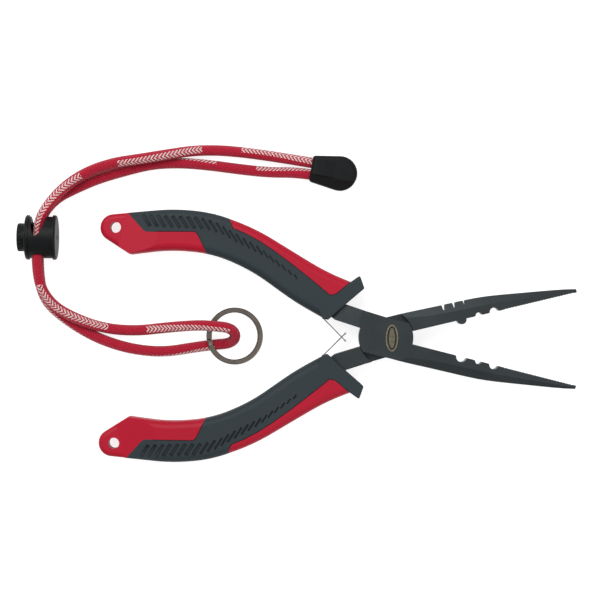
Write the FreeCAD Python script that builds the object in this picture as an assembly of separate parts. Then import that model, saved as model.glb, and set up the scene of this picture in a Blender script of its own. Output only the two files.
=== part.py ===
import FreeCAD, Part
import math
import os
from FreeCAD import Placement, Rotation, Vector

# Long-nose fishing pliers with a wrist lanyard, lying open on a flat surface. Millimetres.
#
# Each half of the pliers is drawn closed, in its own frame: the pivot at the origin, +X towards the
# jaw tips, the handle on the +Y side and the jaw on the -Y side, z = 0 between the two halves. The
# back half is the same forging turned over about X. Both are then opened about the pivot.

# ---- driving dimensions -------------------------------------------------------------------------
HALF_OPENING = 13.7          # degrees that each half turns from closed to open
PIVOT = Vector(20.1, 0, 6.75)  # the pivot's place: the origin is under the middle of the open pliers
GRIP_HALF = 6.75             # half the thickness of the grips, which rest on the surface
JOINT_HALF = 5.25            # half the thickness of the steel at the joint
JOINT_GAP = 0.05             # from the middle plane to each lap face
LAP_RADIUS = 11.4            # the round lap of each half
SHOULDER_RADIUS = 11.7       # the concave shoulder that the other half's lap turns in
JAW_LENGTH = 82.4            # pivot to jaw tip
JAW_GAP = 0.05               # from the middle plane to each jaw face when closed
LANYARD_HOLE_RADIUS = 2.3
LANYARD_HOLE = (-121.0, 17.0)
TAIL_HALF = 4.3              # half the thickness of the grips at the lanyard hole
SLEEVE_THICKNESS = 2.3       # the soft cover over the hard core
LEAF_HINGE = (-36.5, 7.0)    # the root pin of each leaf spring
LEAF_REACH = 21.75           # root pin to where the two leaves cross
LEAF_OPEN_ANGLE = -31.55     # direction of a leaf in its half's frame when the pliers are open
LEAF_CLOSED_ANGLE = -18.75   # and when they are closed
LEAF_THICK = 0.5
LEAF_HALF_WIDTH = 1.9
LEAF_EYE_RADIUS = 1.35
LEAF_PIN_RADIUS = 0.8
LEAF_PIN_HALF = 4.2
CORD = 4.5                   # diameter of the lanyard cord
FLOOR_CLEAR = 0.02           # the lanyard lies this far above the surface
RUNNING = 0.05               # radial clearance of a turning or sliding fit

os.makedirs("parts", exist_ok=True)


# ---- helpers ------------------------------------------------------------------------------------
def flat(points, z=0.0):
    return [Vector(x, y, z) for x, y in points]


def polygon_face(points):
    corners = flat(points)
    return Part.Face(Part.makePolygon(corners + corners[:1]))


def slab(face, low, high):
    """The plan face, drawn at z = 0, as a solid from low to high."""
    moved = face.copy()
    moved.translate(Vector(0, 0, low))
    return moved.extrude(Vector(0, 0, high - low))


def side_slab(outline, width=90.0):
    """A solid whose side view is the outline of (x, z) points, wide enough to hold a whole half."""
    corners = [Vector(x, -width, z) for x, z in outline]
    face = Part.Face(Part.makePolygon(corners + corners[:1]))
    return face.extrude(Vector(0, 2 * width, 0))


def upright(x, y, radius, low, high):
    return Part.makeCylinder(radius, high - low, Vector(x, y, low))


def polar(centre, radius, degrees):
    angle = math.radians(degrees)
    return (centre[0] + radius * math.cos(angle), centre[1] + radius * math.sin(angle))


def place_front(shape):
    """From the closed frame of a half to the front half's place in the open pliers."""
    moved = shape.copy()
    moved.rotate(Vector(0, 0, 0), Vector(0, 0, 1), -HALF_OPENING)
    moved.translate(PIVOT)
    return moved


def place_back(shape):
    """The same for the back half, which is turned over."""
    moved = shape.copy()
    moved.rotate(Vector(0, 0, 0), Vector(1, 0, 0), 180)
    moved.rotate(Vector(0, 0, 0), Vector(0, 0, 1), HALF_OPENING)
    moved.translate(PIVOT)
    return moved


def save(shape, name):
    solids = [s.copy() for s in shape.Solids]
    whole = solids[0] if len(solids) == 1 else Part.makeCompound(solids)
    if not whole.isValid():
        print("INVALID", name)
    whole.exportStep("parts/" + name + ".step")
    box = whole.BoundBox
    print(f"{name:22s} solids {len(solids)} volume {whole.Volume:9.1f}  "
          f"x {box.XMin:7.2f} {box.XMax:7.2f}  y {box.YMin:7.2f} {box.YMax:7.2f}  "
          f"z {box.ZMin:6.2f} {box.ZMax:6.2f}")


# ---- steel halves -------------------------------------------------------------------------------
# Jaw sections: distance from the pivot, depth from the jaw face, half thickness, and the width and
# height of the long bevel along the outer edge.
JAW_SECTIONS = [
    (4.0, 8.1, 5.25, 0.9, 0.5),
    (14.0, 8.1, 5.15, 2.6, 1.1),
    (29.0, 7.8, 4.7, 3.6, 1.7),
    (43.0, 7.35, 4.15, 3.5, 1.7),
    (60.0, 5.15, 3.1, 2.5, 1.3),
    (75.0, 2.95, 2.1, 1.4, 0.9),
    (JAW_LENGTH, 1.5, 1.5, 0.7, 0.6),
]
# Crimping hollows in the jaw faces: distance from the pivot and radius. The back jaw has a rounded
# lug in place of the first one, which enters the front jaw's hollow.
LUG = (32.6, 1.95)
LUG_HALF = 4.5
LUG_HOLLOW = (32.6, 2.25)
CRIMP_HOLLOWS = [(39.9, 1.35), (46.5, 1.85)]
# Line-cutting slits in the back of the back jaw: distance from the pivot, depth and width.
SLITS = [(26.4, 2.1, 1.15), (30.9, 2.1, 0.95), (35.2, 1.6, 0.7)]
SLIT_START = -8.4            # outside the jaw's back
SLIT_BACK = -7.75            # the jaw's back beside the slits
SLIT_FLARE = 0.2             # each slit's mouth is this much wider on each side
LAND_RADIUS = 0.6            # the rounded edges of the hollows in the jaw faces
SERRATION_START = 51.0
SERRATION_PITCH = 1.25
SERRATION_DEPTH = 0.28
LAP_TOP = 8.25               # the lap is cut flat on the handle side and on the jaw side
LAP_BOTTOM = -8.1
TANG_OUTER = [(-2.0, 8.25), (-11.0, 8.7), (-20.0, 9.45), (-40.0, 17.2), (-62.0, 25.0), (-86.0, 27.6)]
TANG_INNER = [(-86.0, 20.6), (-62.0, 18.0), (-40.0, 10.2), (-27.0, 3.9), (-22.5, 1.95), (-12.0, 1.25),
              (-2.0, 0.8)]
STEEL_SIDE = [(-12.5, 5.25), (-22.0, 4.4), (-29.0, 3.1), (-90.0, 3.0)]


def jaw_section(x, depth, half, bevel_width, bevel_height):
    """A flat jaw face, flat top and bottom, and a bevel along the outer edge above and below."""
    inner = -depth + bevel_width
    outline = [(-JAW_GAP, -half), (-JAW_GAP, half), (inner, half), (-depth, half - bevel_height),
               (-depth, -half + bevel_height), (inner, -half)]
    corners = [Vector(x, y, z) for y, z in outline]
    return Part.makePolygon(corners + corners[:1])


def jaw():
    return Part.makeLoft([jaw_section(*s) for s in JAW_SECTIONS], True, False)


def serrations():
    """The material between the teeth of a jaw face, as one comb that is cut away."""
    count = int((JAW_LENGTH - 1.0 - SERRATION_START) / SERRATION_PITCH)
    points = [(SERRATION_START, 1.0)]
    for i in range(count):
        start = SERRATION_START + i * SERRATION_PITCH
        points += [
            (start, -JAW_GAP + 0.01),
            (start + SERRATION_PITCH / 2, -JAW_GAP - SERRATION_DEPTH),
        ]
    end = SERRATION_START + count * SERRATION_PITCH
    points += [(end, -JAW_GAP + 0.01), (end, 1.0)]
    return slab(polygon_face(points), -JOINT_HALF, JOINT_HALF)


def tang(grow=0.0):
    """The bar that carries the grip, straight-sided, thinner inside the grip."""
    face = polygon_face(TANG_OUTER + TANG_INNER)
    if grow:
        face = face.makeOffset2D(grow)
    half = JOINT_HALF + grow
    top = [(x, z + grow) for x, z in STEEL_SIDE]
    side = [(0.0, half)] + top + [(x, -z) for x, z in reversed(top)] + [(0.0, -half)]
    return slab(face, -half, half).common(side_slab(side))


def lap():
    band = Part.makeBox(40, LAP_TOP - LAP_BOTTOM, 2 * JOINT_HALF, Vector(-20, LAP_BOTTOM, -JOINT_HALF))
    return upright(0, 0, LAP_RADIUS, -JOINT_HALF, JOINT_HALF).common(band)


POCKET_CLEAR = 0.65          # room at each side of a leaf spring
POCKET_SPARE_ANGLE = 2.5     # and past each end of its swing, in degrees
TIP_SLOT = ((-18.2, -12.2), (-2.6, 2.4))  # the slot for the leaves' tips: its ends and its sides


def leaf_pocket():
    """Room for the leaf springs: a fan from the root pin, and a slot for the other leaf's tip."""
    clear = POCKET_CLEAR
    low = LEAF_OPEN_ANGLE - POCKET_SPARE_ANGLE
    high = LEAF_CLOSED_ANGLE + POCKET_SPARE_ANGLE
    start = LEAF_HINGE
    reach = LEAF_REACH + 1.0
    fan = polygon_face([
        polar(start, clear, low - 90),
        polar(polar(start, clear, low - 90), reach, low),
        polar(polar(start, clear, high + 90), reach, high),
        polar(start, clear, high + 90),
    ])
    half = LEAF_HALF_WIDTH + 0.3
    (left, right), (back, front) = TIP_SLOT
    tips = Part.makeBox(right - left, front - back, 2 * half, Vector(left, back, -half))
    root = upright(*start, LEAF_EYE_RADIUS + 0.15, -half, half)
    return slab(fan, -half, half).fuse([root, tips])


def hollow(distance, radius):
    """A round hollow in the jaw face whose mouth has rounded edges."""
    reach = math.sqrt(radius ** 2 + 2 * radius * LAND_RADIUS)
    share = radius / (radius + LAND_RADIUS)
    touch = Vector(reach * share, -LAND_RADIUS * share, 0)
    lean = (Vector(0, 1, 0) + Vector(-reach, LAND_RADIUS, 0).normalize()).normalize()
    rounding = Vector(reach, -LAND_RADIUS, 0) + lean * LAND_RADIUS

    def at(x, y):
        return Vector(distance + x, y - JAW_GAP, 0)

    edges = [
        Part.Arc(at(-reach, 0), at(-rounding.x, rounding.y), at(-touch.x, touch.y)).toShape(),
        Part.Arc(at(-touch.x, touch.y), at(0, -radius), at(touch.x, touch.y)).toShape(),
        Part.Arc(at(touch.x, touch.y), at(rounding.x, rounding.y), at(reach, 0)).toShape(),
        Part.makeLine(at(reach, 0), at(reach, 2)),
        Part.makeLine(at(reach, 2), at(-reach, 2)),
        Part.makeLine(at(-reach, 2), at(-reach, 0)),
    ]
    return slab(Part.Face(Part.Wire(edges)), -JOINT_HALF - 1, JOINT_HALF + 1)


def steel_half():
    """The shape that both halves share, before the lug, its hollow, the slits and the pivot hole."""
    body = lap().fuse([jaw(), tang()])
    shoulder = upright(0, 0, SHOULDER_RADIUS, -JOINT_HALF - 1, JOINT_GAP)
    body = body.cut(shoulder).cut(serrations())
    for distance, radius in CRIMP_HOLLOWS:
        body = body.cut(hollow(distance, radius))
    return body.cut(leaf_pocket())


PIN_RADIUS = 4.0
PIN_TOP = 3.9                # the pin ends blind under the front half's face
PIN_HEAD_RADIUS = 5.6
PIN_HEAD_THICK = 1.3
PIN_FLUSH = 5.2
BADGE_CENTRE = (2.4, 0.4)
BADGE_HALF = (5.6, 2.6)      # half its length and half its width
BADGE_THICK = 0.2
BADGE_SUNK = 0.1
BADGE_RIM = 0.55             # the raised rim's width
BADGE_RIM_HEIGHT = 0.3
BADGE_BOSS = 1.35            # the middle boss lies this far inside the badge's edge
BADGE_BOSS_HEIGHT = 0.2


def oval(inset, low, high):
    """An oval slab on the front half's face, inset from the badge's outline."""
    ellipse = Part.Ellipse(Vector(0, 0, 0), BADGE_HALF[0] - inset, BADGE_HALF[1] - inset)
    plate = slab(Part.Face(Part.Wire([ellipse.toShape()])), low, high)
    plate.rotate(Vector(0, 0, 0), Vector(0, 0, 1), 90 + HALF_OPENING)
    plate.translate(Vector(*BADGE_CENTRE, JOINT_HALF - BADGE_SUNK))
    return plate


def badge():
    """A plain oval plate with a raised rim and a raised middle."""
    plate = oval(0, 0, BADGE_THICK + BADGE_RIM_HEIGHT)
    plate = plate.cut(oval(BADGE_RIM, BADGE_THICK, 2))
    return plate.fuse(oval(BADGE_BOSS, BADGE_THICK / 2, BADGE_THICK + BADGE_BOSS_HEIGHT))


def front_half():
    body = steel_half().cut(hollow(*LUG_HOLLOW))
    body = body.cut(upright(0, 0, PIN_RADIUS + RUNNING, 0, PIN_TOP + RUNNING))
    return body.cut(oval(0, 0, 2))


def back_half():
    lug = upright(LUG[0], -JAW_GAP, LUG[1], -LUG_HALF, LUG_HALF)
    body = steel_half().fuse(lug)
    for distance, depth, width in SLITS:
        side = width / 2
        half_outline = [(side + SLIT_FLARE, SLIT_START), (side + SLIT_FLARE, SLIT_BACK),
                        (side, SLIT_BACK + 2 * SLIT_FLARE), (side * 0.75, SLIT_BACK + depth)]
        outline = [(distance + x, y) for x, y in half_outline]
        outline += [(distance - x, y) for x, y in reversed(half_outline)]
        body = body.cut(slab(polygon_face(outline), -JOINT_HALF - 1, JOINT_HALF + 1))
    body = body.cut(upright(0, 0, PIN_RADIUS + RUNNING, 0, JOINT_HALF + 1))
    head = PIN_FLUSH - PIN_HEAD_THICK - RUNNING
    return body.cut(upright(0, 0, PIN_HEAD_RADIUS + RUNNING, head, JOINT_HALF + 1))


def pivot_pin():
    """A shouldered pin with its flush head at the back of the pliers."""
    pin = upright(0, 0, PIN_RADIUS, -PIN_FLUSH, PIN_TOP)
    pin = pin.fuse(upright(0, 0, PIN_HEAD_RADIUS, -PIN_FLUSH, -PIN_FLUSH + PIN_HEAD_THICK))
    pin.translate(PIVOT)
    return pin


# ---- grips --------------------------------------------------------------------------------------
# The outline's corners, from the front of the outer edge round the tail to the front of the inner
# edge, each with its radius. A radius of None makes the largest bend that the runs beside it allow.
OUTLINE = [
    (-16.0, 18.4, None), (-31.0, 20.6, None), (-46.0, 25.2, None), (-64.0, 30.9, None),
    (-83.0, 33.0, None), (-99.0, 30.6, None), (-114.0, 25.4, None), (-127.4, 20.7, 5.6),
    (-127.4, 12.6, 5.6), (-112.3, 7.5, 1.6), (-96.5, 13.6, None), (-79.0, 16.3, None),
    (-61.5, 13.4, None), (-40.5, 5.0, None), (-26.5, 1.2, None),
]
# The hard core under the soft cover.
SPINE = [(-116.0, 21.0), (-101.0, 27.0), (-84.0, 30.2), (-66.0, 28.5), (-47.0, 22.2), (-22.0, 15.9),
         (-26.8, 3.6), (-40.0, 7.9), (-60.0, 15.2), (-79.5, 18.8), (-97.0, 16.4), (-112.0, 11.0)]
OUTLINE_SHARE = 0.47         # the most of a run that a bend takes
# The slanting collar at the front of a grip, with the finger guard at its outer end.
COLLAR = [(-27.6, 1.1, None), (-25.3, 1.3, 0.4), (-19.8, 9.3, 20.0), (-13.8, 17.7, 0.7),
          (-16.9, 22.5, 0.6), (-20.6, 18.2, 20.0), (-30.5, 5.0, None)]
# The soft cover's plan: everything else of a grip is the hard core showing.
COVER = [(-124.0, 28.7), (-109.4, 18.7), (-107.9, 18.3), (-88.3, 23.2), (-86.9, 22.4), (-81.7, 16.1),
         (-76.0, 9.0), (-76.0, -4.0), (-20.0, -4.0), (-10.0, 14.0), (-16.5, 24.0), (-24.9, 12.6),
         (-27.0, 11.6), (-31.1, 13.6), (-39.0, 17.3), (-46.4, 20.6), (-54.7, 24.0), (-61.0, 26.2),
         (-67.6, 27.9), (-73.0, 28.7), (-78.5, 36.0), (-124.0, 40.0)]
SEAM_WIDTH = 0.3             # the shadow line where the soft cover meets the hard core
SEAM_DEPTH = 0.4
GRIP_TAPER = [(-118.0, TAIL_HALF), (-103.0, GRIP_HALF)]  # half thickness along a grip's tail
GRIP_EDGE_RADIUS = 3.2
TAIL_EDGE_RADIUS = 2.0
COLLAR_EDGE_RADIUS = 0.6
# The ribs stand between slanting grooves along this line: long ones near the tail, then shorter.
RIB_LINE = [(-110.5, 22.6), (-85.9, 27.6), (-78.9, 27.2), (-72.4, 25.4), (-58.7, 21.9), (-41.6, 14.9)]
RIB_PITCH = 3.12
LONG_GROOVES = 12
GROOVE_COUNT = 23
GROOVE_LENGTH = 5.8
GROOVE_TAPER = 0.37          # each groove after the long ones is this much shorter
GROOVE_SHARE = 0.6           # a groove's width over the distance between grooves
GROOVE_DEPTH = 0.55
GROOVE_SLANT = 47.0
GROOVE_ROOM = 2.0            # how far the cutting shapes reach out of the surface


def rounded_face(corners):
    """A plan face of straight runs joined by arcs; each corner is (x, y, radius)."""
    points = [Vector(x, y, 0) for x, y, radius in corners]
    edges = []
    at = points[0]
    for i in range(1, len(points) - 1):
        back = (points[i - 1] - points[i]).normalize()
        ahead = (points[i + 1] - points[i]).normalize()
        turn = math.pi - back.getAngle(ahead)
        radius = corners[i][2]
        if radius is None:
            shorter = min((points[i - 1] - points[i]).Length, (points[i + 1] - points[i]).Length)
            radius = OUTLINE_SHARE * shorter / math.tan(turn / 2)
        cut = radius * math.tan(turn / 2)
        start = points[i] + back * cut
        end = points[i] + ahead * cut
        inward = (back + ahead).normalize()
        middle = points[i] + inward * (radius / math.cos(turn / 2) - radius)
        edges += [Part.makeLine(at, start), Part.Arc(start, middle, end).toShape()]
        at = end
    edges += [Part.makeLine(at, points[-1]), Part.makeLine(points[-1], points[0])]
    return Part.Face(Part.Wire(edges))


def rounded_slab(half, radius):
    """The grip's outline at one thickness, with its rim rounded except at the front."""
    body = slab(rounded_face(OUTLINE), -half, half)
    rim = [e for e in body.Edges if e.BoundBox.ZLength < 0.01 and e.CenterOfMass.x < -22]
    return body.makeFillet(radius, rim)


def grip_body():
    """The outer shape of a grip without its collar: thick in the hand, thin at the lanyard hole."""
    low, high = GRIP_TAPER
    thick = side_slab([(low[0], -low[1]), (high[0], -high[1]), (0, -GRIP_HALF),
                       (0, GRIP_HALF), high, low])
    hand = rounded_slab(GRIP_HALF, GRIP_EDGE_RADIUS).common(thick)
    return hand.fuse(rounded_slab(TAIL_HALF, TAIL_EDGE_RADIUS)).removeSplitter()


def lanyard_hole():
    x, y = LANYARD_HOLE
    return upright(x, y, LANYARD_HOLE_RADIUS, -GRIP_HALF, GRIP_HALF)


def collar():
    body = slab(rounded_face(COLLAR), -GRIP_HALF, GRIP_HALF)
    rim = [e for e in body.Edges if e.BoundBox.ZLength < 0.01 and e.CenterOfMass.x > -25]
    return body.makeFillet(COLLAR_EDGE_RADIUS, rim)


def surface_height(x):
    """How far a grip's flat side lies from its middle at this distance from the pivot."""
    (tail_x, tail_half), (hand_x, hand_half) = GRIP_TAPER
    share = min(1.0, max(0.0, (x - tail_x) / (hand_x - tail_x)))
    return tail_half + share * (hand_half - tail_half)


def point_along(points, distance):
    for (x, y), (next_x, next_y) in zip(points, points[1:]):
        length = math.hypot(next_x - x, next_y - y)
        if distance <= length:
            share = distance / length
            return x + share * (next_x - x), y + share * (next_y - y)
        distance -= length
    return points[-1]


def grooves():
    """The slanting grooves between the ribs, on both sides."""
    cuts = []
    for i in range(GROOVE_COUNT):
        distance = (i + 0.5) * RIB_PITCH
        x, y = point_along(RIB_LINE, distance)
        ahead_x, ahead_y = point_along(RIB_LINE, distance + 0.1)
        run = math.degrees(math.atan2(ahead_y - y, ahead_x - x))
        width = GROOVE_SHARE * RIB_PITCH * math.cos(math.radians(GROOVE_SLANT - run))
        length = GROOVE_LENGTH - GROOVE_TAPER * max(0, i - LONG_GROOVES)
        floor = surface_height(x) - GROOVE_DEPTH
        for low in (floor, -floor - GROOVE_ROOM):
            cut = Part.makeBox(width, length, GROOVE_ROOM, Vector(-width / 2, -length / 2, low))
            cut.rotate(Vector(0, 0, 0), Vector(0, 0, 1), GROOVE_SLANT)
            cut.translate(Vector(x, y, 0))
            cuts.append(cut)
    return cuts


def seam():
    """The narrow groove inside the soft cover's edge, on both sides."""
    plan = polygon_face(COVER)
    band = plan.cut(plan.makeOffset2D(-SEAM_WIDTH))
    floor = GRIP_HALF - SEAM_DEPTH
    return [slab(band, floor, floor + GROOVE_ROOM), slab(band, -floor - GROOVE_ROOM, -floor)]


def grip():
    """The core and the cover of a grip in the frame of its half."""
    body = grip_body().fuse(collar()).cut(lanyard_hole()).removeSplitter()
    spine = slab(polygon_face(SPINE), -GRIP_HALF + SLEEVE_THICKNESS, GRIP_HALF - SLEEVE_THICKNESS)
    bared = body.cut(slab(polygon_face(COVER), -GRIP_HALF - 1, GRIP_HALF + 1))
    core = spine.fuse(bared)
    cover = body.cut(core).cut(grooves()).cut(seam())
    room = tang().fuse(leaf_pocket()).fuse(leaf_pin())
    return core.cut(room), cover.cut(room)


# ---- leaf springs -------------------------------------------------------------------------------
TONGUE_HALF = 0.75           # the front leaf's tip, which passes through the back leaf's window
WINDOW_HALF = 1.1
WINDOW = (-2.6, 1.35)        # the window's ends, measured from the crossing
TIP = 2.1                    # the leaf ends this far past the crossing
CURL_RADIUS = 0.42


def leaf(tongued):
    """A flat strip from its rolled eye to a small curl at its tip, drawn along +X from the pin."""
    half = LEAF_HALF_WIDTH
    end = LEAF_REACH + TIP
    strip = Part.makeBox(end, LEAF_THICK, 2 * half, Vector(0, -LEAF_THICK / 2, -half))
    curl = upright(end, 0, CURL_RADIUS, -half, half)
    eye = upright(0, 0, LEAF_EYE_RADIUS, -half, half)
    body = strip.fuse([curl, eye]).cut(upright(0, 0, LEAF_PIN_RADIUS + RUNNING, -half, half))
    if tongued:
        start = LEAF_REACH + WINDOW[0] - 0.4
        side = half - TONGUE_HALF
        for low in (-half, TONGUE_HALF):
            body = body.cut(Part.makeBox(10, 4, side, Vector(start, -2, low)))
        return body
    length = WINDOW[1] - WINDOW[0]
    window = Part.makeBox(length, 4, 2 * WINDOW_HALF,
                          Vector(LEAF_REACH + WINDOW[0], -2, -WINDOW_HALF))
    return body.cut(window)


def leaf_in_half(tongued):
    body = leaf(tongued)
    body.rotate(Vector(0, 0, 0), Vector(0, 0, 1), LEAF_OPEN_ANGLE)
    body.translate(Vector(*LEAF_HINGE, 0))
    return body


def leaf_pin():
    return upright(*LEAF_HINGE, LEAF_PIN_RADIUS, -LEAF_PIN_HALF, LEAF_PIN_HALF)


# ---- lanyard ------------------------------------------------------------------------------------
# One cord: out of the end clip, through the cord lock, round the split ring and back the same way.
CORD_ROUTE = [
    (-5.9, 72.3, 4.27),
    (-15.8, 73.9, 4.27),
    (-28.0, 75.9, 2.27),
    (-40.5, 77.5, 2.27),
    (-51.0, 78.3, 2.4),
    (-61.5, 78.0, 3.2),
    (-72.6, 76.0, 6.6),
    (-83.5, 74.1, 7.1),
    (-95.0, 72.4, 6.6),
    (-106.0, 68.6, 6.2),
    (-115.0, 62.4, 8.2),
    (-122.0, 54.0, 11.4),
    (-126.0, 46.0, 11.67),
    (-126.0, 22.4, 11.67),
    (-120.4, 12.6, 8.2),
    (-110.4, 6.8, 6.6),
    (-98.0, 2.6, 3.0),
    (-84.8, 1.8, 2.27),
    (-73.4, 3.2, 3.4),
    (-64.5, 4.1, 6.6),
    (-57.1, 4.5, 9.2),
    (-51.1, 4.1, 10.0),
    (-46.6, 3.7, 9.7),
    (-43.9, 2.4, 8.1),
    (-42.9, 0.2, 5.9),
    (-43.9, -2.0, 3.6),
    (-46.6, -3.3, 2.27),
    (-51.9, -3.7, 2.27),
    (-61.5, -5.1, 2.27),
    (-72.8, -7.0, 2.27),
    (-84.2, -6.3, 2.27),
    (-95.0, -3.7, 2.27),
    (-105.0, 0.4, 2.27),
    (-115.0, 6.6, 2.27),
    (-123.4, 14.0, 4.2),
    (-126.0, 24.6, 7.07),
    (-126.0, 48.2, 7.07),
    (-119.8, 57.0, 4.0),
    (-111.4, 61.6, 2.27),
    (-101.4, 66.0, 2.27),
    (-90.4, 69.3, 2.27),
    (-78.8, 72.3, 2.27),
    (-66.5, 72.9, 2.27),
    (-54.0, 71.9, 2.27),
    (-41.7, 70.3, 2.27),
    (-29.2, 69.1, 2.27),
    (-16.5, 69.1, 4.27),
    (-6.7, 67.5, 4.27),
]
BEND_SHARE = 0.45            # each bend takes this share of the shorter run beside it


def cord_path(route):
    """Straight runs joined by tangent arcs."""
    points = [Vector(*p) for p in route]
    edges = []
    at = points[0]
    for before, corner, after in zip(points, points[1:], points[2:]):
        back = before - corner
        ahead = after - corner
        run = back.Length
        cut = BEND_SHARE * min(run, ahead.Length)
        back.normalize()
        ahead.normalize()
        turn = math.pi - back.getAngle(ahead)
        radius = cut / math.tan(turn / 2)
        start = corner + back * cut
        end = corner + ahead * cut
        inward = (back + ahead).normalize()
        middle = corner + inward * (radius / math.cos(turn / 2) - radius)
        edges += [Part.LineSegment(at, start).toShape(), Part.Arc(start, middle, end).toShape()]
        print(f"cord bend at {corner.x:7.1f} {corner.y:6.1f}: run {run:5.1f} "
              f"radius {radius:6.1f} turn {math.degrees(turn):5.1f}")
        at = end
    edges.append(Part.LineSegment(at, points[-1]).toShape())
    return Part.Wire(edges)


def tube(route, radius):
    path = cord_path(route)
    first = Vector(*route[0])
    direction = (Vector(*route[1]) - first).normalize()
    section = Part.Wire([Part.Circle(first, direction, radius).toShape()])
    body = path.makePipeShell([section], True, False)
    print(f"cord length {path.Length:.1f}, volume {body.Volume:.0f}, "
          f"expected {path.Length * math.pi * radius ** 2:.0f}")
    return body


RING_CENTRE = (-43.4, 0.0, 3.8)
RING_RADIUS = 12.0
RING_WIRE = (2.1, 1.0)       # the wire's width and the thickness of one turn
RING_GAP = 0.06
RING_STEP = 14.0             # degrees of the ramp that joins the two turns
RING_TILT = 12.5             # degrees, the loop of cord lifts one side
RING_START = 200.0           # degrees, where the lower turn starts


def ring_section(degrees, low):
    width, thick = RING_WIRE
    inner = RING_RADIUS - width
    bevel = 0.25
    outline = [(inner, low + bevel), (inner + bevel, low), (RING_RADIUS - bevel, low),
               (RING_RADIUS, low + bevel), (RING_RADIUS, low + thick - bevel),
               (RING_RADIUS - bevel, low + thick), (inner + bevel, low + thick),
               (inner, low + thick - bevel)]
    points = [Vector(x, 0, z) for x, z in outline]
    wire = Part.makePolygon(points + points[:1])
    wire.rotate(Vector(0, 0, 0), Vector(0, 0, 1), degrees)
    return wire


def split_ring():
    """Two turns of flat wire, one on the other, joined by a short ramp."""
    low = -RING_WIRE[1] - RING_GAP / 2
    high = RING_GAP / 2
    span = 360 - RING_STEP
    turns = [Part.Face(ring_section(0, z)).revolve(Vector(0, 0, 0), Vector(0, 0, 1), span)
             for z in (low, high)]
    ramp = Part.makeLoft([ring_section(span, low), ring_section(360, high)], True, True)
    ring = turns[0].fuse([turns[1], ramp])
    ring.rotate(Vector(0, 0, 0), Vector(0, 0, 1), RING_START)
    ring.rotate(Vector(0, 0, 0), Vector(0, 1, 0), RING_TILT)
    ring.translate(Vector(*RING_CENTRE))
    return ring


LOCK_RADIUS = 9.35
LOCK_CENTRE = Vector(-124.5, 40.7, LOCK_RADIUS + FLOOR_CLEAR)
LOCK_HALF = 6.5              # half the barrel's length
LOCK_BORE = 5.9
LOCK_END_WALL = 0.9
LOCK_RIM = 1.5
LOCK_RIM_HEIGHT = 0.6        # the rims stand this far out of the barrel's waist
LOCK_RIM_RADIUS = 0.8
MOULD_HOLE_RADIUS = 1.2      # a small hole in the barrel's closed end
CHANNEL_X = -1.5             # the cord channel's place along the barrel
CHANNEL_HALF = (2.75, 4.85)  # half its width and half its height
BUTTON_OUT = 3.4             # the button stands out of the barrel
BUTTON_TRAVEL = 1.2
BUTTON_END = 2.75            # the plunger's inner end, past the barrel's middle
BUTTON_EDGE_RADIUS = 0.6
BUTTON_PLAY = (1.4, 0.7)     # how much longer the button's window is than the barrel's, at each end
FLUTE_COUNT = 20
FLUTE_RADIUS = 0.5
SPRING_WIRE = 0.35
SPRING_RADIUS = 4.0
SPRING_TURNS = 3
# Wedges cut from the barrel where the strands come in: plan outline, then lowest and highest point.
UPPER_MOUTH = ([(-4.15, 11.0), (-3.8, 4.0), (-3.3, 1.6), (-1.7, 0.2), (-0.3, 1.2), (0.9, 4.0),
                (3.9, 11.0)], -1.0, 20.0)
LOWER_MOUTH = ([(-4.15, 2.0), (1.2, 2.0), (6.7, 11.0), (-4.15, 11.0)], -6.0, 0.5)


def along_x(x, length, radius):
    return Part.makeCylinder(radius, length, Vector(x, 0, 0), Vector(1, 0, 0))


def place_lock(shape):
    moved = shape.copy()
    moved.translate(LOCK_CENTRE)
    return moved


def channel(extra_low=0.0, extra_high=0.0):
    """The slot for the two strands, stretched along the barrel if asked."""
    x = CHANNEL_X - CHANNEL_HALF[0] - extra_low
    width = 2 * CHANNEL_HALF[0] + extra_low + extra_high
    return Part.makeBox(width, 40, 2 * CHANNEL_HALF[1], Vector(x, -20, -CHANNEL_HALF[1]))


def lock_barrel():
    body = along_x(-LOCK_HALF, 2 * LOCK_HALF, LOCK_RADIUS)
    waist = along_x(-LOCK_HALF + LOCK_RIM, 2 * LOCK_HALF - 2 * LOCK_RIM, LOCK_RADIUS + 1)
    waist = waist.cut(along_x(-LOCK_HALF, 2 * LOCK_HALF, LOCK_RADIUS - LOCK_RIM_HEIGHT))
    body = body.cut(waist)
    rims = [e for e in body.Edges if e.Length > 50 and abs(abs(e.CenterOfMass.x) - LOCK_HALF) < 0.01]
    body = body.makeFillet(LOCK_RIM_RADIUS, rims)
    body = body.cut(along_x(-LOCK_HALF - 1, 2 * LOCK_HALF - LOCK_END_WALL + 1, LOCK_BORE + RUNNING))
    body = body.cut(along_x(0, 2 * LOCK_HALF, MOULD_HOLE_RADIUS)).cut(channel())
    for outline, low, high in (UPPER_MOUTH, LOWER_MOUTH):
        body = body.cut(slab(polygon_face(outline), low, high))
    return body


def lock_button():
    """The plunger: its window pinches the cord, and its fluted end is pressed to free it."""
    length = LOCK_HALF + BUTTON_OUT + BUTTON_END
    start = -LOCK_HALF - BUTTON_OUT
    body = along_x(start, length, LOCK_BORE)
    rim = [e for e in body.Edges if e.CenterOfMass.x < start + 1 and e.Length > 20]
    body = body.makeFillet(BUTTON_EDGE_RADIUS, rim)
    flute_length = BUTTON_OUT - BUTTON_TRAVEL - 0.3
    for i in range(FLUTE_COUNT):
        y, z = polar((0, 0), LOCK_BORE + FLUTE_RADIUS / 2, 360 / FLUTE_COUNT * i)
        flute = Part.makeCylinder(FLUTE_RADIUS, flute_length + 0.1, Vector(start - 0.1, y, z),
                                  Vector(1, 0, 0))
        body = body.cut(flute)
    outline, low, high = UPPER_MOUTH
    body = body.cut(slab(polygon_face(outline), low, high))
    return body.cut(channel(*BUTTON_PLAY))


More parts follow.
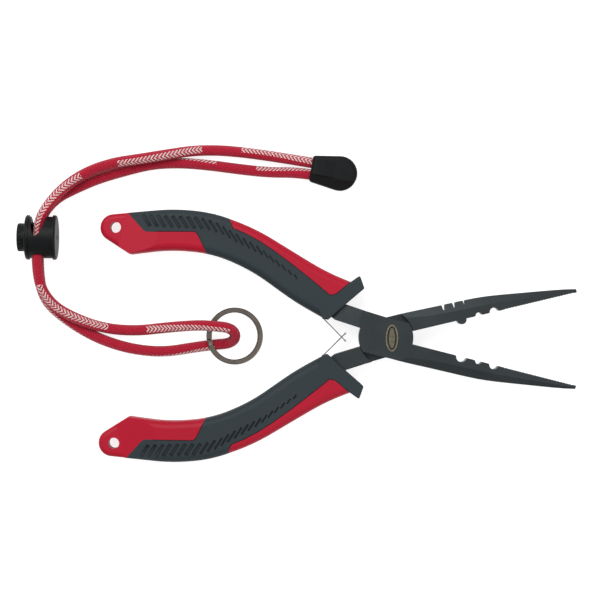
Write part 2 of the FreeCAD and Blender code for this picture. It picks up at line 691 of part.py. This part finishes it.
def lock_spring():
    """A compression spring between the plunger's end and the barrel's closed end."""
    clear = 0.05
    length = LOCK_HALF - LOCK_END_WALL - BUTTON_END - SPRING_WIRE - 2 * clear
    helix = Part.makeHelix(length / SPRING_TURNS, length, SPRING_RADIUS)
    circle = Part.Circle(Vector(SPRING_RADIUS, 0, 0), Vector(0, 1, 0), SPRING_WIRE / 2)
    section = Part.Wire([circle.toShape()])
    spring = Part.Wire(helix).makePipeShell([section], True, True)
    spring.rotate(Vector(0, 0, 0), Vector(0, 1, 0), 90)
    spring.translate(Vector(BUTTON_END + SPRING_WIRE / 2 + clear, 0, 0))
    return spring


CLIP_MOUTH = (-11.8, 70.8)
CLIP_TURN = -9.3             # degrees that the clip points below +X
CLIP_BULB = (12.4, 7.2)      # the round end's centre and radius
CLIP_NECK = 5.4              # half width at the mouth
CLIP_HEIGHT = 8.5
CLIP_SEAM = 4.25
CLIP_DEPTH = 5.9             # the strands go in this far
STRAND_SIDE = 2.45           # from the clip's middle to each strand
CLIP_CORNER_RADIUS = 1.2
CLIP_TOP_RADIUS = 1.8
CLIP_BOTTOM_RADIUS = 1.0
# The slanting side of the cover, seen from the mouth: (y, z).
CLIP_SLANT = [(-2.6, 8.6), (-9.0, 8.6), (-9.0, 2.0)]
CLIP_LINE = (9.5, 0.6, 0.9)  # length, width and depth of the groove above the slanting side
THUMB_GROOVES = (5.8, 7.4, 9.0)
THUMB_GROOVE_SIZE = (0.7, 5.6, 0.25)
THUMB_GROOVE_GAP = 0.8       # from the line to the thumb grooves
RIVET_PLACE = (13.6, 3.2)
RIVET_RADIUS = 1.2
RIVET_HEAD = (1.7, 0.6)      # radius and thickness
RIVET_LOW = 1.2


def place_clip(shape):
    moved = shape.copy()
    moved.rotate(Vector(0, 0, 0), Vector(0, 0, 1), CLIP_TURN)
    moved.translate(Vector(*CLIP_MOUTH, FLOOR_CLEAR))
    return moved


def clip_blank():
    """A round end and a narrower mouth, joined by straight sides that touch the round end."""
    centre, radius = CLIP_BULB
    away = math.degrees(math.atan2(CLIP_NECK, -centre))
    lean = math.degrees(math.acos(radius / math.hypot(centre, CLIP_NECK)))
    x, y = polar((centre, 0), radius, away - lean)
    edges = [
        Part.makeLine(Vector(0, -CLIP_NECK, 0), Vector(x, -y, 0)),
        Part.Arc(Vector(x, -y, 0), Vector(centre + radius, 0, 0), Vector(x, y, 0)).toShape(),
        Part.makeLine(Vector(x, y, 0), Vector(0, CLIP_NECK, 0)),
        Part.makeLine(Vector(0, CLIP_NECK, 0), Vector(0, -CLIP_NECK, 0)),
    ]
    body = slab(Part.Face(Part.Wire(edges)), 0, CLIP_HEIGHT)
    corners = [e for e in body.Edges if e.BoundBox.ZLength > 1 and e.CenterOfMass.x < 1]
    body = body.makeFillet(CLIP_CORNER_RADIUS, corners)
    for height, size in ((CLIP_HEIGHT, CLIP_TOP_RADIUS), (0, CLIP_BOTTOM_RADIUS)):
        rim = [e for e in body.Edges
               if e.BoundBox.ZLength < 0.01 and abs(e.CenterOfMass.z - height) < 0.01]
        body = body.makeFillet(size, rim)
    return body


def clip_rivet():
    x, y = RIVET_PLACE
    radius, thick = RIVET_HEAD
    shank = upright(x, y, RIVET_RADIUS, RIVET_LOW, CLIP_HEIGHT)
    return shank.fuse(upright(x, y, radius, CLIP_HEIGHT - thick, CLIP_HEIGHT))


def clip_shells():
    """The clip's base and cover, closed on each other round the two ends of the cord."""
    slant = [Vector(-5, y, z) for y, z in CLIP_SLANT]
    wedge = Part.Face(Part.makePolygon(slant + slant[:1])).extrude(Vector(40, 0, 0))
    length, width, depth = CLIP_LINE
    line = Vector(-1, CLIP_SLANT[0][0] - width / 2, CLIP_HEIGHT - depth)
    cuts = [wedge, clip_rivet(), Part.makeBox(length + 1, width, depth + 1, line)]
    for side in (STRAND_SIDE, -STRAND_SIDE):
        cuts.append(Part.makeCylinder(CORD / 2, CLIP_DEPTH + 1, Vector(-1, side, CLIP_SEAM),
                                      Vector(1, 0, 0)))
    wide, long, deep = THUMB_GROOVE_SIZE
    for x in THUMB_GROOVES:
        corner = Vector(x, CLIP_SLANT[0][0] + THUMB_GROOVE_GAP, CLIP_HEIGHT - deep)
        cuts.append(Part.makeBox(wide, long, deep + 1, corner))
    body = clip_blank()
    for cut in cuts:
        body = body.cut(cut)
    below = Part.makeBox(40, 40, CLIP_SEAM, Vector(-10, -20, 0))
    return body.common(below), body.cut(below)


def main():
    core, cover = grip()
    base, lid = clip_shells()
    save(place_front(front_half()), "front_half")
    save(place_back(back_half()), "back_half")
    save(pivot_pin(), "pivot_pin")
    save(place_front(badge()), "joint_badge")
    for side, place in (("front", place_front), ("back", place_back)):
        save(place(core), side + "_grip_core")
        save(place(cover), side + "_grip_cover")
        save(place(leaf_in_half(side == "front")), side + "_leaf_spring")
        save(place(leaf_pin()), side + "_leaf_pin")
    save(tube(CORD_ROUTE, CORD / 2), "lanyard_cord")
    save(split_ring(), "split_ring")
    save(place_lock(lock_barrel()), "cord_lock_barrel")
    save(place_lock(lock_button()), "cord_lock_button")
    save(place_lock(lock_spring()), "cord_lock_spring")
    save(place_clip(base), "end_clip_base")
    save(place_clip(lid), "end_clip_cover")
    save(place_clip(clip_rivet()), "end_clip_rivet")


main()
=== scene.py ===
import math

import bmesh
import bpy
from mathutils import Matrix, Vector


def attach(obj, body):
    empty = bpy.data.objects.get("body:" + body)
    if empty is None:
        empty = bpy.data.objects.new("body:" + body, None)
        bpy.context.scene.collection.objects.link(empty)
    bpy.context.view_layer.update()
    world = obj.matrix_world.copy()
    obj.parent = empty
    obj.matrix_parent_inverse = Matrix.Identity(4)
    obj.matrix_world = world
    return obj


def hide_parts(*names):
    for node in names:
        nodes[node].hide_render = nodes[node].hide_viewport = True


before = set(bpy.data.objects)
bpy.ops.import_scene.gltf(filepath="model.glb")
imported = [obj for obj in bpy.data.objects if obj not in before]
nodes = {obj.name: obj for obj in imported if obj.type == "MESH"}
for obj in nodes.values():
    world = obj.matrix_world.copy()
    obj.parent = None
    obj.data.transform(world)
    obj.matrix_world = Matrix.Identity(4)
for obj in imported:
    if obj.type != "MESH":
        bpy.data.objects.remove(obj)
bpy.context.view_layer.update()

MM = 0.001
HALF_OPENING = 13.7          # degrees that each half of the pliers is turned from closed
FULL_TURN = 2 * math.pi
BADGE_RELIEF = 0.3 * MM      # the badge's field lies this far below its rim
BRAID_PER_METRE = 830        # crossings of the cord's braid
BRAID_CARRIERS = 8
STITCHES_PER_METRE = 620     # the pale tracer stitches, along the cord
STITCH_SLANT = 9.0           # stitches that a stitch leans back over one turn round the cord
STITCH_SHARE = 0.5           # of the distance from stitch to stitch
STRIP_PLACE = 0.27           # the stitches' strip, in turns round the cord
STRIP_HALF = 0.11
STRIP_DRIFT = 0.09           # how far the strip wanders to each side
STRIP_WAVES = 9              # wanderings per metre
GROUPS_PER_METRE = 19
GROUP_SHARE = 0.68           # of the distance from group to group
WEAVE_RELIEF = 0.22 * MM
PAINTED_SHADE_REACH = 1.5 * MM      # painted shade: the rubber's colour is darkened where it is closed in within this distance

# ---- camera -------------------------------------------------------------------------------------
VIEW_CENTRE = Vector((-0.0160, 0.0154, 0.0068))  # the middle of the view, at the grips' mid height
VIEW_WIDTH = 0.252
CAMERA_HEIGHT = 0.95
CAMERA_ROLL = 0.48


def make_camera():
    data = bpy.data.cameras.new("camera")
    data.sensor_width = 36.0
    data.lens = data.sensor_width * CAMERA_HEIGHT / VIEW_WIDTH
    data.clip_start = 0.01
    data.clip_end = 20.0
    camera = bpy.data.objects.new("camera", data)
    camera.location = VIEW_CENTRE + Vector((0, 0, CAMERA_HEIGHT))
    camera.rotation_euler = (0, 0, math.radians(CAMERA_ROLL))
    bpy.context.scene.collection.objects.link(camera)
    bpy.context.scene.camera = camera


# ---- node helpers for materials -----------------------------------------------------------------
def new_material(name, colour, roughness, metallic=0.0, **sockets):
    material = bpy.data.materials.new(name)
    material.use_nodes = True
    shader = material.node_tree.nodes["Principled BSDF"]
    shader.inputs["Base Color"].default_value = (*colour, 1)
    shader.inputs["Roughness"].default_value = roughness
    shader.inputs["Metallic"].default_value = metallic
    for socket, value in sockets.items():
        shader.inputs[socket.replace("_", " ")].default_value = value
    return material


def add(material, kind, **values):
    node = material.node_tree.nodes.new(kind)
    for key, value in values.items():
        if key in node.inputs:
            node.inputs[key].default_value = value
        else:
            setattr(node, key, value)
    return node


def wire(material, source, target):
    material.node_tree.links.new(source, target)


def noise(material, scale, detail=3.0, stretch=(1, 1, 1), turn=0.0):
    """A noise texture in the object's own metres, stretched along an axis if asked."""
    place = add(material, "ShaderNodeTexCoord")
    mapping = add(material, "ShaderNodeMapping")
    mapping.inputs["Rotation"].default_value = (0, 0, math.radians(turn))
    mapping.inputs["Scale"].default_value = stretch
    texture = add(material, "ShaderNodeTexNoise", Scale=scale, Detail=detail)
    wire(material, place.outputs["Object"], mapping.inputs["Vector"])
    wire(material, mapping.outputs["Vector"], texture.inputs["Vector"])
    return texture.outputs["Fac"]


def maths(material, operation, *values):
    """A Math node whose inputs are numbers or other nodes' outputs."""
    node = add(material, "ShaderNodeMath", operation=operation)
    for socket, value in zip(node.inputs, values):
        if isinstance(value, (int, float)):
            socket.default_value = value
        else:
            wire(material, value, socket)
    return node.outputs["Value"]


def remap(material, source, low, high):
    node = add(material, "ShaderNodeMapRange")
    node.inputs["To Min"].default_value = low
    node.inputs["To Max"].default_value = high
    wire(material, source, node.inputs["Value"])
    return node.outputs["Result"]


def bump(material, height, distance, strength=1.0):
    node = add(material, "ShaderNodeBump")
    node.inputs["Distance"].default_value = distance
    node.inputs["Strength"].default_value = strength
    wire(material, height, node.inputs["Height"])
    shader = material.node_tree.nodes["Principled BSDF"]
    wire(material, node.outputs["Normal"], shader.inputs["Normal"])


def tint(material, source, colour_a, colour_b):
    """The base colour runs from one colour to the other with the source."""
    ramp = add(material, "ShaderNodeMix", data_type="RGBA")
    wire(material, source, ramp.inputs["Factor"])
    ramp.inputs["A"].default_value = (*colour_a, 1)
    ramp.inputs["B"].default_value = (*colour_b, 1)
    shader = material.node_tree.nodes["Principled BSDF"]
    wire(material, ramp.outputs["Result"], shader.inputs["Base Color"])


def roughness_from(material, source, low, high):
    shader = material.node_tree.nodes["Principled BSDF"]
    wire(material, remap(material, source, low, high), shader.inputs["Roughness"])


# ---- materials ----------------------------------------------------------------------------------
def steel_material(name, turn):
    """Black-finished steel, brushed along the jaw; turn is the brushing's direction in degrees."""
    material = new_material(name, (0.034, 0.041, 0.045), 0.4, metallic=0.8)
    grain = noise(material, 1500, 4, stretch=(0.05, 1, 1), turn=turn)
    roughness_from(material, grain, 0.32, 0.5)
    tint(material, noise(material, 90, 3), (0.023, 0.028, 0.03), (0.037, 0.044, 0.047))
    bump(material, grain, 0.00002)
    return material


def spring_material():
    material = new_material("spring_steel", (0.3, 0.3, 0.3), 0.3, metallic=1.0)
    tint(material, noise(material, 500, 3), (0.22, 0.22, 0.225), (0.36, 0.36, 0.355))
    roughness_from(material, noise(material, 900, 3), 0.22, 0.38)
    return material


def badge_material():
    """Dark bronze, worn bright on the raised rim, less on the boss, dark in the field between."""
    material = new_material("bronze", (0.24, 0.2, 0.13), 0.36, metallic=1.0)
    place = add(material, "ShaderNodeTexCoord")
    split = add(material, "ShaderNodeSeparateXYZ")
    wire(material, place.outputs["Object"], split.inputs["Vector"])
    top = max(vertex.co.z for vertex in nodes["joint_badge"].data.vertices)
    raised = add(material, "ShaderNodeMapRange")
    raised.inputs["From Min"].default_value = top - BADGE_RELIEF
    raised.inputs["From Max"].default_value = top
    wire(material, split.outputs["Z"], raised.inputs["Value"])
    wear = remap(material, noise(material, 900, 3), 0.1, 1.2)
    worn = maths(material, "MULTIPLY", raised.outputs["Result"], wear)
    tint(material, worn, (0.035, 0.036, 0.034), (0.27, 0.235, 0.16))
    roughness_from(material, noise(material, 500, 2), 0.3, 0.48)
    return material


def red_material():
    material = new_material("red_plastic", (0.38, 0.003, 0.02), 0.45, Specular_IOR_Level=0.16)
    tint(material, noise(material, 45, 3), (0.3, 0.0028, 0.016), (0.355, 0.0035, 0.02))
    grain = noise(material, 2800, 3)
    roughness_from(material, grain, 0.4, 0.54)
    bump(material, grain, 0.00003)
    return material


def grey_material():
    """Soft grey rubber, with painted shade darkening its colour in the grooves between the ribs."""
    material = new_material("grey_rubber", (0.014, 0.022, 0.027), 0.6, Specular_IOR_Level=0.22)
    # Painted shade: ambient occlusion measures how closed in the rubber is, and the colour is darkened
    # there.
    painted_shade_occlusion = add(material, "ShaderNodeAmbientOcclusion", samples=8, only_local=True,
                   Distance=PAINTED_SHADE_REACH)
    painted_groove_shade = add(material, "ShaderNodeMapRange")
    painted_groove_shade.inputs["From Min"].default_value = 0.7
    painted_groove_shade.inputs["From Max"].default_value = 0.97
    wire(material, painted_shade_occlusion.outputs["AO"], painted_groove_shade.inputs["Value"])
    mottle = remap(material, noise(material, 55, 3), 0.75, 1.1)
    shade = maths(material, "MULTIPLY", painted_groove_shade.outputs["Result"], mottle)
    # Painted shade: the dark colour stands in for shade in the grooves; the mottle is the rubber's own
    # uneven tone.
    tint(material, shade, (0.0045, 0.0075, 0.0095), (0.017, 0.026, 0.031))
    grain = noise(material, 3400, 3)
    roughness_from(material, grain, 0.52, 0.7)
    bump(material, grain, 0.00005)
    return material


def black_material():
    material = new_material("black_plastic", (0.004, 0.0045, 0.005), 0.45, Specular_IOR_Level=0.1)
    tint(material, noise(material, 120, 3), (0.0035, 0.004, 0.0045), (0.007, 0.0075, 0.008))
    grain = noise(material, 2400, 3)
    roughness_from(material, grain, 0.38, 0.54)
    bump(material, grain, 0.00002)
    return material


def ring_material():
    material = new_material("gunmetal", (0.12, 0.105, 0.09), 0.28, metallic=1.0)
    tint(material, noise(material, 300, 3), (0.085, 0.075, 0.064), (0.16, 0.14, 0.12))
    roughness_from(material, noise(material, 800, 3), 0.2, 0.36)
    return material


def cord_material():
    """Woven red braid with groups of pale tracer stitches, laid out by the cord's own UV."""
    material = new_material("woven_cord", (0.4, 0.003, 0.022), 0.72, Sheen_Weight=0.12,
                            Specular_IOR_Level=0.2)
    shader = material.node_tree.nodes["Principled BSDF"]
    place = add(material, "ShaderNodeTexCoord")
    split = add(material, "ShaderNodeSeparateXYZ")
    wire(material, place.outputs["UV"], split.inputs["Vector"])
    along = split.outputs["X"]
    around = split.outputs["Y"]

    def wave(steps_along, steps_around, sign=1.0):
        lengthwise = maths(material, "MULTIPLY", along, steps_along * FULL_TURN)
        crosswise = maths(material, "MULTIPLY", around, sign * steps_around * FULL_TURN)
        return maths(material, "SINE", maths(material, "ADD", lengthwise, crosswise))

    # Two sets of diagonal threads that cross.
    weave = maths(material, "MAXIMUM", wave(BRAID_PER_METRE, BRAID_CARRIERS),
                  wave(BRAID_PER_METRE, BRAID_CARRIERS, -1.0))
    bump(material, weave, WEAVE_RELIEF, 0.9)

    # Tracer threads: pale slanting stitches to both sides of a line that drifts along the cord.
    drift = maths(material, "SINE", maths(material, "MULTIPLY", along, STRIP_WAVES * FULL_TURN))
    line = maths(material, "MULTIPLY_ADD", drift, STRIP_DRIFT, STRIP_PLACE)
    from_line = maths(material, "ABSOLUTE", maths(material, "SUBTRACT", around, line))
    step = maths(material, "ADD", maths(material, "MULTIPLY", along, STITCHES_PER_METRE),
                 maths(material, "MULTIPLY", from_line, STITCH_SLANT))
    stitches = maths(material, "LESS_THAN", maths(material, "FRACT", step), STITCH_SHARE)
    strip = maths(material, "LESS_THAN", from_line, STRIP_HALF)
    period = maths(material, "FRACT", maths(material, "MULTIPLY", along, GROUPS_PER_METRE))
    group = maths(material, "LESS_THAN", period, GROUP_SHARE)
    marks = maths(material, "MULTIPLY", maths(material, "MULTIPLY", stitches, group), strip)
    # Painted shade: the red is darkened where the threads dip between crossings, following the weave's
    # height.
    shade = maths(material, "MULTIPLY_ADD", weave, 0.3, 0.6)
    red = add(material, "ShaderNodeMix", data_type="RGBA")
    wire(material, shade, red.inputs["Factor"])
    red.inputs["A"].default_value = (0.15, 0.001, 0.009, 1)
    red.inputs["B"].default_value = (0.44, 0.003, 0.026, 1)
    both = add(material, "ShaderNodeMix", data_type="RGBA")
    wire(material, marks, both.inputs["Factor"])
    wire(material, red.outputs["Result"], both.inputs["A"])
    both.inputs["B"].default_value = (0.6, 0.46, 0.45, 1)
    wire(material, both.outputs["Result"], shader.inputs["Base Color"])
    return material


# ---- lanyard cord -------------------------------------------------------------------------------
CORD_DIAMETER = 4.5 * MM
CORD_SIDES = 20
CORD_ROUTE = [
    (-5.9, 72.3, 4.27),
    (-15.8, 73.9, 4.27),
    (-28.0, 75.9, 2.27),
    (-40.5, 77.5, 2.27),
    (-51.0, 78.3, 2.4),
    (-61.5, 78.0, 3.2),
    (-72.6, 76.0, 6.6),
    (-83.5, 74.1, 7.1),
    (-95.0, 72.4, 6.6),
    (-106.0, 68.6, 6.2),
    (-115.0, 62.4, 8.2),
    (-122.0, 54.0, 11.4),
    (-126.0, 46.0, 11.67),
    (-126.0, 22.4, 11.67),
    (-120.4, 12.6, 8.2),
    (-110.4, 6.8, 6.6),
    (-98.0, 2.6, 3.0),
    (-84.8, 1.8, 2.27),
    (-73.4, 3.2, 3.4),
    (-64.5, 4.1, 6.6),
    (-57.1, 4.5, 9.2),
    (-51.1, 4.1, 10.0),
    (-46.6, 3.7, 9.7),
    (-43.9, 2.4, 8.1),
    (-42.9, 0.2, 5.9),
    (-43.9, -2.0, 3.6),
    (-46.6, -3.3, 2.27),
    (-51.9, -3.7, 2.27),
    (-61.5, -5.1, 2.27),
    (-72.8, -7.0, 2.27),
    (-84.2, -6.3, 2.27),
    (-95.0, -3.7, 2.27),
    (-105.0, 0.4, 2.27),
    (-115.0, 6.6, 2.27),
    (-123.4, 14.0, 4.2),
    (-126.0, 24.6, 7.07),
    (-126.0, 48.2, 7.07),
    (-119.8, 57.0, 4.0),
    (-111.4, 61.6, 2.27),
    (-101.4, 66.0, 2.27),
    (-90.4, 69.3, 2.27),
    (-78.8, 72.3, 2.27),
    (-66.5, 72.9, 2.27),
    (-54.0, 71.9, 2.27),
    (-41.7, 70.3, 2.27),
    (-29.2, 69.1, 2.27),
    (-16.5, 69.1, 4.27),
    (-6.7, 67.5, 4.27),
]


def nurbs_line(name, route):
    curve = bpy.data.curves.new(name, "CURVE")
    curve.dimensions = "3D"
    curve.resolution_u = 12
    spline = curve.splines.new("NURBS")
    spline.points.add(len(route) - 1)
    for point, place in zip(spline.points, route):
        point.co = (*(Vector(place) * MM), 1)
    spline.order_u = 3
    spline.use_endpoint_u = True
    return bpy.data.objects.new(name, curve)


def line_points(route):
    """Points along the route's NURBS line."""
    guide = nurbs_line("guide", route)
    bpy.context.scene.collection.objects.link(guide)
    bpy.context.view_layer.update()
    mesh = bpy.data.meshes.new_from_object(guide)
    points = [v.co.copy() for v in mesh.vertices]
    bpy.data.objects.remove(guide)
    bpy.data.meshes.remove(mesh)
    return points


def tube_mesh(name, points, radius, sides):
    """A tube round the points, with UV: X in metres along it, Y once round it."""
    mesh = bpy.data.meshes.new(name)
    form = bmesh.new()
    uv = form.loops.layers.uv.new("UVMap")
    rings = []
    lengths = [0.0]
    for a, b in zip(points, points[1:]):
        lengths.append(lengths[-1] + (b - a).length)
    tangents = []
    for i in range(len(points)):
        tangents.append((points[min(i + 1, len(points) - 1)] - points[max(i - 1, 0)]).normalized())
    side = Vector((0, 0, 1)).cross(tangents[0]).normalized()
    for point, tangent in zip(points, tangents):
        side = (side - tangent * side.dot(tangent)).normalized()
        up = tangent.cross(side)
        ring = []
        for k in range(sides):
            angle = FULL_TURN * k / sides
            ring.append(form.verts.new(point + (side * math.cos(angle) + up * math.sin(angle)) * radius))
        rings.append(ring)
    for i in range(len(rings) - 1):
        for k in range(sides):
            after = (k + 1) % sides
            face = form.faces.new((rings[i][k], rings[i][after], rings[i + 1][after], rings[i + 1][k]))
            face.smooth = True
            corners = ((i, k), (i, k + 1), (i + 1, k + 1), (i + 1, k))
            for loop, (row, column) in zip(face.loops, corners):
                loop[uv].uv = (lengths[row], column / sides)
    form.faces.new(reversed(rings[0]))
    form.faces.new(rings[-1])
    form.to_mesh(mesh)
    form.free()
    piece = bpy.data.objects.new(name, mesh)
    bpy.context.scene.collection.objects.link(piece)
    return piece, lengths[-1]


def make_cord():
    points = line_points(CORD_ROUTE)
    cord, length = tube_mesh("cord", points, CORD_DIAMETER / 2, CORD_SIDES)
    cord.data.materials.append(cord_material())
    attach(cord, "lanyard")
    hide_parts("lanyard_cord")
    print("cord line length", round(length, 4))


# ---- CAD nodes ----------------------------------------------------------------------------------
def paint(material, *names):
    for name in names:
        mesh = nodes[name].data
        mesh.materials.clear()
        mesh.materials.append(material)


def paint_nodes():
    paint(steel_material("front_steel", HALF_OPENING), "front_half")
    paint(steel_material("back_steel", -HALF_OPENING), "back_half")
    paint(steel_material("pin_steel", 0), "pivot_pin", "front_leaf_pin", "back_leaf_pin")
    paint(spring_material(), "front_leaf_spring", "back_leaf_spring", "cord_lock_spring")
    paint(badge_material(), "joint_badge")
    paint(red_material(), "front_grip_core", "back_grip_core")
    paint(grey_material(), "front_grip_cover", "back_grip_cover")
    paint(black_material(), "cord_lock_barrel", "cord_lock_button", "end_clip_base", "end_clip_cover",
          "end_clip_rivet")
    paint(ring_material(), "split_ring")


# ---- studio -------------------------------------------------------------------------------------
FLOOR_HALF = 3.0             # metres
FLOOR_SHADE = (0.4, 0.4, 0.4)
FLOOR_GLOW = 0.8             # the floor stays pale where the lights don't reach
KEY_LIGHT = ("key", (-0.3, 0.5, 0.85), 0.6, 8.0)     # name, place, size and power
FILL_LIGHT = ("fill", (0.5, -0.5, 0.8), 0.9, 4.0)
SKY_SPAN = 0.7               # the surround is even beyond this slope
SKY_FRONT = 0.42
SKY_BACK = 0.78
WHITE = (1, 1, 1, 1)


def area_light(name, place, size, power):
    """A square light that faces the origin."""
    data = bpy.data.lights.new(name, "AREA")
    data.shape = "SQUARE"
    data.size = size
    data.energy = power
    light = bpy.data.objects.new(name, data)
    light.location = place
    light.rotation_euler = (-Vector(place)).to_track_quat("-Z", "Y").to_euler()
    bpy.context.scene.collection.objects.link(light)


def make_studio():
    mesh = bpy.data.meshes.new("floor")
    form = bmesh.new()
    bmesh.ops.create_grid(form, x_segments=1, y_segments=1, size=FLOOR_HALF)
    form.to_mesh(mesh)
    form.free()
    floor = bpy.data.objects.new("floor", mesh)
    pale = new_material("floor", FLOOR_SHADE, 0.9, Specular_IOR_Level=0.0, Emission_Color=WHITE,
                        Emission_Strength=FLOOR_GLOW)
    floor.data.materials.append(pale)
    bpy.context.scene.collection.objects.link(floor)
    area_light(*KEY_LIGHT)
    area_light(*FILL_LIGHT)
    make_sky()
    bpy.context.scene.view_settings.view_transform = "Standard"


def make_sky():
    """A pale surround, brighter behind the pliers than in front of them."""
    world = bpy.data.worlds.new("world")
    world.use_nodes = True
    tree = world.node_tree
    place = tree.nodes.new("ShaderNodeTexCoord")
    split = tree.nodes.new("ShaderNodeSeparateXYZ")
    ramp = tree.nodes.new("ShaderNodeMapRange")
    ramp.inputs["From Min"].default_value = -SKY_SPAN
    ramp.inputs["From Max"].default_value = SKY_SPAN
    ramp.inputs["To Min"].default_value = SKY_FRONT
    ramp.inputs["To Max"].default_value = SKY_BACK
    tree.links.new(place.outputs["Generated"], split.inputs["Vector"])
    tree.links.new(split.outputs["Y"], ramp.inputs["Value"])
    background = tree.nodes["Background"]
    background.inputs["Color"].default_value = WHITE
    tree.links.new(ramp.outputs["Result"], background.inputs["Strength"])
    bpy.context.scene.world = world


make_camera()
make_cord()
paint_nodes()
make_studio()
